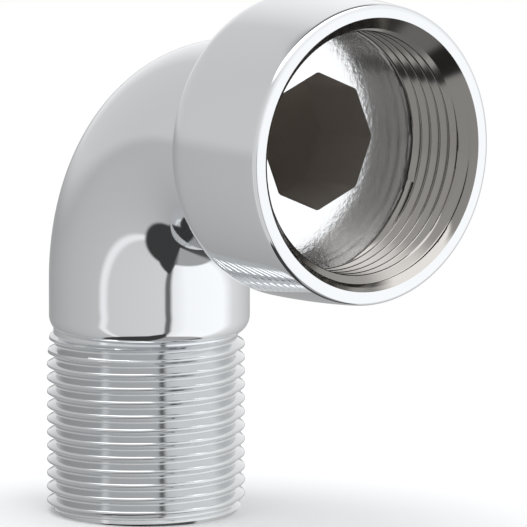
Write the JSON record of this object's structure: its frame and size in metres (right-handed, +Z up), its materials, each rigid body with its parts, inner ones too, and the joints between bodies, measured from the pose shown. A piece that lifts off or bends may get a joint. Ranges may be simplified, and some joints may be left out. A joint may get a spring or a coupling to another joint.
{
  "type": "wall outlet elbow",
  "caption": "Chrome-plated brass pipe elbow: male pipe thread at one end, wide female threaded socket with a flat sealing floor and a key hexagon at the other.",
  "frame": {"origin": "on the male thread's axis, at the height where the thread stops below the smooth neck", "axes": "+Z up the male leg to the bend, +X out of the female socket's mouth, so both axes lie in the XZ plane"},
  "size_m": [0.0763, 0.0496, 0.0908],
  "materials": {
    "chrome": "polished plating"
  },
  "bodies": {
    "root": {"elbow_body": "chrome"}
  },
  "joints": []
}
